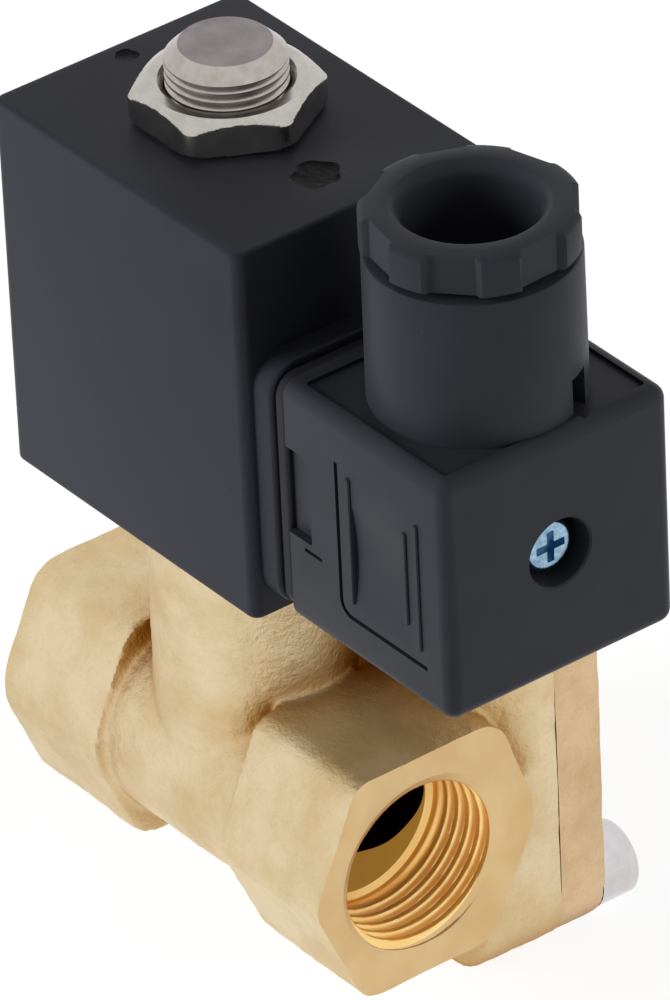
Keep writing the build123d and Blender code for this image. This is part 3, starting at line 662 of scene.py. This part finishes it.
def flangeLump():
    low, high = cover
    c = casting
    outline = rectOutline(low.z, low.x, high.z, high.x, c["flangeCorner"], 8)
    # two extra points at each step of the slant
    dense = []
    for i, here in enumerate(outline):
        dense.append(here)
        after = outline[(i + 1) % len(outline)]
        if (here[0] - c["slantStart"]) * (after[0] - c["slantStart"]) < 0 and abs(here[1] - after[1]) < 0.01:
            way = 1 if after[0] > here[0] else -1
            dense.append((c["slantStart"] - 0.05 * way, here[1]))
            dense.append((c["slantStart"] + 0.05 * way, here[1]))
    pulled = []
    for z, x in dense:
        if z > c["slantStart"]:
            x = min(max(x, low.x + c["slantRun"]), high.x - c["slantRun"])
        pulled.append((z, x))
    return skin([(pulled, c["flangeBack"]), (dense, flangeFace - c["flangeEdge"]),
                 (dense, flangeFace + c["spare"])], "y")


def threadedMouth(face, side):
    # the air inside a port: countersink, then the thread's helix, fading out at its end
    t = thread
    steps = 144
    layers = []
    depth = -0.6
    while depth < t["length"] + 0.001:
        outline = []
        for k in range(steps):
            turn = 2 * math.pi * k / steps
            phase = (depth / t["pitch"] + k / steps * side) % 1
            rise = min(max((abs(2 * phase - 1) - 0.3) / 0.6, 0), 1)
            rise = rise * rise * (3 - 2 * rise)
            fade = min(max((t["length"] - 0.4 - depth) / t["fade"], 0), 1)
            radius = max(t["minor"] + t["deep"] * rise * fade, t["mouth"] - depth * t["flare"])
            outline.append((radius * math.cos(turn), radius * math.sin(turn)))
        layers.append((outline, face - side * depth))
        depth += 0.113
    layers.append((roundOutline(t["neck"], steps), face - side * (depth + t["runOut"])))   # a short cone
    return skin(layers, "x")


def castBody():
    c = casting
    port = roundedOutline(portCorners, portRounds, 8)
    inlet = roundedOutline(portCorners, inletRounds, 8)
    lumps = [prism(inlet, inletFace - c["spare"], inletFace + c["inletLength"], "x"),
             prism(port, outletFace - c["outletLength"], outletFace + c["spare"], "x"),
             rod("x", (0, 0), c["barrel"], inletFace + 1, outletFace - 1),
             rod("z", (tubeX, 0), c["boss"], 0, bossTop + c["spare"]),
             rod("y", (0, tubeX), c["chamber"], 0, flangeFace - 1),
             flangeLump()]
    piece = voxelCast("body_casting", lumps, c["voxel"], c["rounds"])
    unevenCast(piece, c["swell"], c["swellSize"], 3.0)
    unevenCast(piece, c["grain"], c["grainSize"], 7.0)
    faceOff(piece, (inletFace, 0, 0), (-1, 0, 0))
    faceOff(piece, (outletFace, 0, 0), (1, 0, 0))
    faceOff(piece, (0, flangeFace - c["joint"], 0), (0, 1, 0))
    faceOff(piece, (0, 0, bossTop), (0, 0, 1))
    # the cored passage opens behind the outlet's bored wall with a ragged, slanting edge
    b = bores
    circle = roundOutline(b["pocket"], b["pocketSteps"])
    neck = roundOutline(b["neck"], b["pocketSteps"])
    edge = []
    for y, z in circle:
        ragged = b["ragged"] * noise.noise(Vector((y / b["raggedSize"], z / b["raggedSize"], 4.0)))
        edge.append(c["pocketEdge"] - c["pocketSlant"] * (1 - max(y / b["pocket"], 0)) + ragged)
    pocket = [(circle, b["pocketStart"]), (circle, edge), (neck, [x + 1.0 for x in edge])]
    tools = [threadedMouth(inletFace, -1), threadedMouth(outletFace, 1), skin(pocket, "x"),
             rod("x", (0, 0), b["passage"], 0, tubeX - b["inletStop"]),
             rod("x", (0, 0), b["passage"], tubeX - b["outletStart"], outletFace - 3),
             turned(b["chamber"], "y", (0, tubeX)), turned(b["tubeSeat"], "z", (tubeX, 0))]
    for axis, place, radius, start, end in (("y", (14.8, tubeX), 1.0, 2.7, 20.0),
                                            ("z", (tubeX, 4.0), 0.8, 14.8, 26.0)):
        tools.append(rod(axis, place, radius, start, end, 24))   # pilot passages
    for x in (tubeX - b["boltReach"], tubeX + b["boltReach"]):
        for z in (cover[0].z + b["boltInset"], cover[1].z - b["boltInset"]):
            tools.append(rod("y", (z, x), *b["boltHole"], 32))
    combine(piece, tools)
    coat(piece, brassCast, brassFaced, brassThread, boreShadePaint, brassWall)

    def choose(at, facing):
        number = np.zeros(len(at), int)
        fromPipe = np.hypot(at[:, 1], at[:, 2])
        fromTube = np.hypot(at[:, 0] - tubeX, at[:, 1])
        fromPiston = np.hypot(at[:, 0] - tubeX, at[:, 2])
        z = zones
        mouth = z["mouth"]
        for finish, (radius, start, end) in z["bores"]:
            number[(fromPipe < radius) & (at[:, 0] > start) & (at[:, 0] < end)] = finish
        radius, start, end = z["piston"]
        number[(fromPiston < radius) & (at[:, 1] > start) & (at[:, 1] < end)] = 1
        number[(fromTube < z["tube"][0]) & (at[:, 2] > z["tube"][1])] = 1
        rim = (at[:, 0] < inletFace + mouth[1]) | (at[:, 0] > outletFace - mouth[1])
        number[(fromPipe < mouth[0]) & rim] = 1
        for plane, axis in ((inletFace, 0), (outletFace, 0), (flangeFace - c["joint"], 1), (bossTop, 2)):
            number[np.abs(at[:, axis] - plane) < 0.01] = 1
        return number
    paintFaces(piece, choose)
    return dress(piece, "valve", ["valve_body"], 40)


castBody()


# bonnet: a second casting, a touch pinker, with its rim a little uneven
coverPlate = {"voxel": 0.42, "rounds": 10, "corner": 6.0, "spare": 2.0, "chamber": 13.0, "chamberDepth": 4.0,
              "boltInset": (4.7, 5.0), "boltHole": 2.75, "swell": 0.14, "swellSize": 7.0}


def castCover():
    c = coverPlate
    low, high = cover
    outline = rectOutline(low.z, low.x, high.z, high.x, c["corner"], 8)
    piece = voxelCast("bonnet_casting", [prism(outline, low.y - c["spare"], high.y, "y")],
                      c["voxel"], c["rounds"])
    unevenCast(piece, c["swell"], c["swellSize"], 11.0)
    faceOff(piece, (0, flangeFace + casting["joint"], 0), (0, -1, 0))
    tools = [rod("y", (0, tubeX), c["chamber"], flangeFace - 1, flangeFace + c["chamberDepth"])]
    for x in (low.x + c["boltInset"][0], high.x - c["boltInset"][0]):
        for z in (low.z + c["boltInset"][1], high.z - c["boltInset"][1]):
            tools.append(rod("y", (z, x), c["boltHole"], flangeFace - 1, high.y + 1, 32))
    combine(piece, tools)
    coat(piece, brassCover, brassFaced)

    def choose(at, facing):
        number = np.zeros(len(at), int)
        number[at[:, 1] < flangeFace + casting["joint"] + 0.01] = 1
        number[(np.hypot(at[:, 0] - tubeX, at[:, 2]) < c["chamber"] + 0.1) & (at[:, 1] < high.y - 1)] = 1
        return number
    paintFaces(piece, choose)
    return dress(piece, "valve", ["bonnet"], 40)


castCover()

# coil: the moulded block, its square terminal base and the yoke's pocket
coilBlock = {"baseDepth": 2.9, "corner": 1.3, "topRound": 0.55, "footRound": 0.7, "base": 14.6,
             "baseCorner": 3.5, "baseRound": 0.55, "bore": 6.8, "roof": 3.5, "yoke": (15.0, 13.5, 13.0),
             "insert": (2.6, 7.4), "bladeSpacing": 9.0, "earthDrop": 9.0, "bladeRoot": 6.0,
             "blade": (0.8, 6.3), "marks": {(9.9, -1.0): 1.3, (41.1, -0.6): 2.6}}


def bladeBars(start, end, grow):
    # the three flat blades: two upright, the earth blade lying below
    c = coilBlock
    thin, wide = (v / 2 + grow for v in c["blade"])
    z = screwHeight
    spots = [(coilY - c["bladeSpacing"], z, thin, wide), (coilY + c["bladeSpacing"], z, thin, wide),
             (coilY, z - c["earthDrop"], wide, thin)]
    return [prism([(y - a, h - b), (y + a, h - b), (y + a, h + b), (y - a, h + b)], start, end, "x")
            for y, h, a, b in spots]


plugBase = plug[0].z
plugTop = plugBase + 28.4
plugMid = (plugBase + plugTop) / 2
plugScrew = span("connector_screw")
screwHeight = (plugScrew[0].z + plugScrew[1].z) / 2


def mouldCoil():
    c = coilBlock
    low, high = coil
    front = high.x - c["baseDepth"]
    block = softBlock(low, (front, high.y, high.z), "z", c["corner"], c["footRound"], c["topRound"])
    base = softBlock((front - 4, coilY - c["base"], plugMid - c["base"]),
                     (high.x, coilY + c["base"], plugMid + c["base"]), "x", c["baseCorner"], 0.3,
                     c["baseRound"])
    piece = shellOf("coil_moulding", block)
    combine(piece, [base], "UNION")
    back, ahead, side = c["yoke"]
    tools = [prism(rectOutline(tubeX - back, -side, tubeX + ahead, side, 0.3, 2), low.z - 1,
                   high.z - c["roof"]),
             rod("z", (tubeX, 0), c["bore"], low.z - 2, high.z + 2),
             rod("x", (coilY, screwHeight), c["insert"][0], high.x - c["insert"][1], high.x + 1, 32)]
    tools += bladeBars(high.x - c["bladeRoot"], high.x + 1, 0)
    # two shallow sink marks on top, glossy where the resin shrank from the tool; their near-black paint is a
    # painted dark reflection
    for (x, y), size in c["marks"].items():
        layers = []
        for wide, t in ((0.75, -0.22), (0.92, -0.14), (1.0, 0.0), (1.1, 0.3)):
            outline = []
            for k in range(48):
                turn = 2 * math.pi * k / 48
                way = Vector((math.cos(turn), math.sin(turn), x))
                reach = size * wide * (1 + 0.3 * noise.noise(way * 1.3))
                outline.append((x + reach * way.x, y + reach * way.y))
            layers.append((outline, high.z + t))
        tools.append(skin(layers, "z"))
    combine(piece, tools)
    coat(piece, coilMoulding, sinkMark)

    def choose(at, facing):
        number = np.zeros(len(at), int)
        for (x, y), size in c["marks"].items():
            number[(np.hypot(at[:, 0] - x, at[:, 1] - y) < size * 1.4) & (at[:, 2] < high.z - 0.01)
                   & (at[:, 2] > high.z - 0.3)] = 1
        return number
    paintFaces(piece, choose)
    return dress(piece, "coil", ["coil_housing"], 28)


mouldCoil()


# gasket: a square of rubber with a rounded lip, set in a little from the plug's edge
def cutGasket():
    low, high = gasket
    inset = 0.25
    piece = shellOf("gasket_sheet", softBlock((low.x, low.y + inset, low.z + inset),
                                              (high.x, high.y - inset, high.z - inset), "x", 2.5, 0.5, 0.5))
    tools = [rod("x", (coilY, screwHeight), 1.9, low.x - 1, high.x + 1, 32)]
    tools += bladeBars(low.x - 1, high.x + 1, 0.3)
    combine(piece, tools)
    coat(piece, nitrile)
    return dress(piece, "plug", ["connector_gasket"], 28)


cutGasket()

# plug: hollow block with the gland's tower, a finger recess between ribs, and the cover's seam
plugShell = {"half": 14.5, "corner": 1.6, "ridge": 1.7, "ridgeDepth": 0.4, "frontRound": 1.5, "backRound": 0.3,
             "wall": 1.8, "frontWall": 2.2,
             "towerSetback": 12.6, "towerWide": 11.25, "towerTop": 11.15, "towerBore": 8.6, "cable": 6.5,
             "recess": (3.85, 4.3), "boss": (5.25, 9.0), "screwHole": 1.7,
             "seamWide": 0.55, "seamDepth": 0.5, "seamPlace": (8.2, 4.8, 23.0, 22.4), "seamBend": (1.9, 1.4),
             "ribs": ((10.0, 0.8, 6.9, 22.1), (19.1, 0.7, 9.0, 20.1), (21.0, 0.75, 6.8, 21.9)),
             "ribRise": 0.28, "ribFoot": 0.6, "ribEdge": (0.12, 0.14),
             "scoop": (40.0, 0.45), "scoopPlace": (13.0, 10.9, 19.0)}


def seamCutter(side):
    # the L-shaped seam of the cover, cut into one side wall
    wide, deep = plugShell["seamWide"], plugShell["seamDepth"]
    back, foot, top, front = plugShell["seamPlace"]
    outerBend, innerBend = plugShell["seamBend"]
    x, low, high, ahead = plug[0].x + back, plugBase + foot, plugBase + top, plug[0].x + front
    path = roundedOutline([(high + 30, x), (low, x), (low, ahead + 30)], [0, outerBend, 0], 8)
    path = [(high, x)] + path[1:-1] + [(low, ahead)]
    inner = roundedOutline([(high + 30, x + wide), (low + wide, x + wide), (low + wide, ahead + 30)],
                           [0, innerBend, 0], 8)
    inner = [(high, x + wide)] + inner[1:-1] + [(low + wide, ahead)]
    outline = path + list(reversed(inner))
    face = coilY + side * plugShell["half"]
    return prism(outline, min(face - side * deep, face + side), max(face - side * deep, face + side), "y")


def ribs(side):
    face = coilY + side * plugShell["half"]
    inset, drop = plugShell["ribEdge"]
    inner, outer = face - side * plugShell["ribFoot"], face + side * plugShell["ribRise"]
    made = []
    for x, wide, low, high in plugShell["ribs"]:
        x += plug[0].x
        outline = rectOutline(plugBase + low, x, plugBase + high, x + wide, wide * 0.45, 4)
        slim = rectOutline(plugBase + low + inset, x + inset, plugBase + high - inset, x + wide - inset,
                           wide * 0.3, 4)
        layers = [(outline, inner), (outline, outer - side * drop), (slim, outer)]
        made.append(skin(layers, "y"))
    return made


def fingerScoop(side):
    radius, deep = plugShell["scoop"]
    height, start, end = plugShell["scoopPlace"]
    middle = coilY + side * (plugShell["half"] - deep + radius)
    return rod("x", (middle, plugBase + height), radius, plug[0].x + start, plug[0].x + end, 160)


def mouldPlug():
    c = plugShell
    low, high = plug
    back, front = low.x, high.x
    towerX = front - c["towerSetback"]
    half = c["half"]
    block = softBlock((back, coilY - half, plugBase), (front, coilY + half, plugTop), "x", c["corner"],
                      c["backRound"], c["frontRound"])
    piece = shellOf("plug_moulding", block)
    # the lid's shallow recess leaves a crisp ridge round the top
    edge = c["ridge"]
    lid = rectOutline(back + edge, coilY - half + edge, front - edge, coilY + half - edge, 0.5, 3)
    combine(piece, [prism(lid, plugTop - c["ridgeDepth"], plugTop + 1)])
    tower = turned([(c["towerWide"], plugTop - 1.8), (c["towerTop"], high.z - 0.35),
                    (c["towerTop"] - 0.1, high.z - 0.1), (c["towerTop"] - 0.35, high.z)], "z",
                   (towerX, coilY), 96)
    combine(piece, [tower], "UNION")
    inner = half - c["wall"]
    cavity = prism(rectOutline(coilY - inner, plugBase + c["wall"], coilY + inner, plugTop - c["wall"], 0.6, 3),
                   back - 1, front - c["frontWall"], "x")
    combine(piece, [cavity])
    boss = rod("x", (coilY, screwHeight), c["boss"][0], front - c["boss"][1], front - c["frontWall"] / 2)
    combine(piece, [boss] + ribs(-1) + ribs(1), "UNION")
    tools = [rod("x", (coilY, screwHeight), c["screwHole"], front - c["boss"][1] - 1, front + 1, 32),
             turned([(c["recess"][0], front - c["recess"][1]), (c["recess"][0], front - 0.2),
                     (c["recess"][0] + 0.25, front + 0.05), (c["recess"][0] + 0.25, front + 1)], "x",
                    (coilY, screwHeight), 64),
             rod("z", (towerX, coilY), c["cable"], plugTop - c["wall"] - 1, high.z + 1),
             turned([(c["towerBore"], plugTop), (c["towerBore"], high.z - 0.4),
                     (c["towerBore"] + 0.45, high.z + 0.05), (c["towerBore"] + 0.45, high.z + 1)], "z",
                    (towerX, coilY), 96)]
    for side in (-1, 1):
        face = coilY + side * half
        tools.append(seamCutter(side))
        # latch window at the back edge and the short slit under it
        a, b = sorted((face - side * 1.0, face + side))
        tools.append(prism(roundedOutline([(plugBase + 10.6, back - 1), (plugBase + 20.9, back - 1),
                                           (plugBase + 20.9, back + 2.6), (plugBase + 19.4, back + 3.7),
                                           (plugBase + 10.6, back + 3.9)], [0, 0, 0.4, 0.4, 0.3], 4),
                           a, b, "y"))
        a, b = sorted((face - side * 0.6, face + side))
        tools.append(prism(rectOutline(plugBase + 9.4, back + 2.6, plugBase + 9.85, back + 5.5, 0.2, 3),
                           a, b, "y"))
        tools.append(fingerScoop(side))
    # coding slot up the tower's foot
    turn = math.radians(27.0)
    out, across = Vector((math.cos(turn), math.sin(turn))), Vector((-math.sin(turn), math.cos(turn)))
    foot = Vector((towerX, coilY))
    outline = [tuple(foot + out * r + across * w)
               for r, w in ((9.4, -1.4), (12.5, -1.4), (12.5, 1.5), (9.4, 1.5))]
    tools.append(prism(outline, plugTop - 0.4, plugTop + 4.0))
    combine(piece, tools)
    coat(piece, plugMoulding)
    return dress(piece, "plug", ["connector_housing"], 28)


mouldPlug()

# gland nut: seven grip lobes, a sloping crown and a wide countersunk mouth
grip = {"lobes": 7, "firstFlat": 3.0, "wide": 11.3, "flat": 10.2, "flatHalf": 13.0, "edge": 2.2,
        "head": 4.6, "spigot": 8.52, "bore": 7.1, "mouth": 8.1, "steps": 252}


def mouldGripNut():
    c = grip
    low, high = lobedNut
    axisX, axisY = plug[1].x - plugShell["towerSetback"], coilY
    seat = high.z - c["head"]
    foot = low.z

    def lobed(reach):
        outline = []
        for k in range(c["steps"]):
            turn = 360 * k / c["steps"]
            period = 360 / c["lobes"]
            off = abs((turn - c["firstFlat"] + period / 2) % period - period / 2)
            flat = c["flat"] / math.cos(math.radians(min(off, c["flatHalf"])))
            lift = min(max((off - c["flatHalf"]) / c["edge"], 0), 1)
            radius = flat + (c["wide"] - flat) * lift * lift * (3 - 2 * lift)
            radius = min(radius, reach)
            outline.append((axisX + radius * math.cos(math.radians(turn)),
                            axisY + radius * math.sin(math.radians(turn))))
        return outline
    plain = lambda r: roundOutline(r, c["steps"], (axisX, axisY))
    layers = [(plain(c["spigot"]), foot), (plain(c["spigot"]), seat), (lobed(c["wide"] - 0.25), seat),
              (lobed(c["wide"]), seat + 0.25), (lobed(c["wide"]), high.z - 0.75),
              (lobed(c["wide"] - 0.1), high.z - 0.55), (lobed(c["wide"] - 0.35), high.z - 0.36),
              (lobed(c["wide"] - 0.7), high.z - 0.2), (plain(9.4), high.z - 0.03), (plain(8.3), high.z),
              (plain(8.1), high.z - 0.06), (plain(7.7), high.z - 0.35), (plain(7.3), high.z - 1.2),
              (plain(c["bore"]), high.z - 1.7), (plain(c["bore"]), foot)]
    piece = shellOf("grip_nut", skin(layers, "z", closed=False, around=True), [plugMoulding])
    return dress(piece, "gland_nut", ["gland_nut"], 32)


mouldGripNut()

# coil nut: chamfered hexagon with rolled corners and a countersunk mouth into a plain bore
hexagon = {"flats": 18.0, "cornerRound": 0.5, "chamfer": 0.7, "slope": 0.62, "bore": 6.45, "mouth": 7.15,
           "pitch": 1.0, "steps": 144}


def cutHexNut():
    c = hexagon
    low, high = hexNut
    half = c["flats"] / 2
    corner = half / math.cos(math.pi / 6)

    def hexRing(limit):
        outline = []
        for k in range(c["steps"]):
            turn = 2 * math.pi * k / c["steps"]
            off = abs((math.degrees(turn) + 30) % 60 - 30)
            radius = min(half / math.cos(math.radians(30 - off)), corner - c["cornerRound"] * 0.3, limit)
            outline.append((tubeX + radius * math.cos(turn), radius * math.sin(turn)))
        return outline
    plain = lambda r: roundOutline(r, c["steps"], (tubeX, 0))
    layers = [(hexRing(corner - 0.5), low.z), (hexRing(corner), low.z + 0.3)]
    drop = (corner - half + c["chamfer"]) * c["slope"]
    count = 12
    for k in range(count + 1):
        limit = corner - (corner - half + c["chamfer"]) * k / count
        layers.append((hexRing(limit), high.z - drop + drop * k / count))
    layers += [(plain(c["mouth"]), high.z), (plain(c["bore"]), high.z - 0.7), (plain(c["bore"]), low.z)]
    piece = shellOf("hex_nut", skin(layers, "z", closed=False, around=True), [nickel])
    return dress(piece, "coil_nut", ["coil_nut"], 22)


cutHexNut()

# the springs are copied from the CAD as they stand; each is listed with the part at its moving end and that
# part's way of travel, which the code does not use
springs = {"piston_spring": ("piston", (0, 1, 0)), "plunger_spring": ("plunger", (0, 0, 1))}


def coilSprings():
    for node, (mover, way) in springs.items():
        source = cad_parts[node]
        mesh = source.data.copy()
        mesh.transform(source.matrix_world)
        spring = bpy.data.objects.new(node + "_wire", mesh)
        scene.collection.objects.link(spring)
        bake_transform(spring)
        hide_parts(node)


coilSprings()
print("springs are coiled")
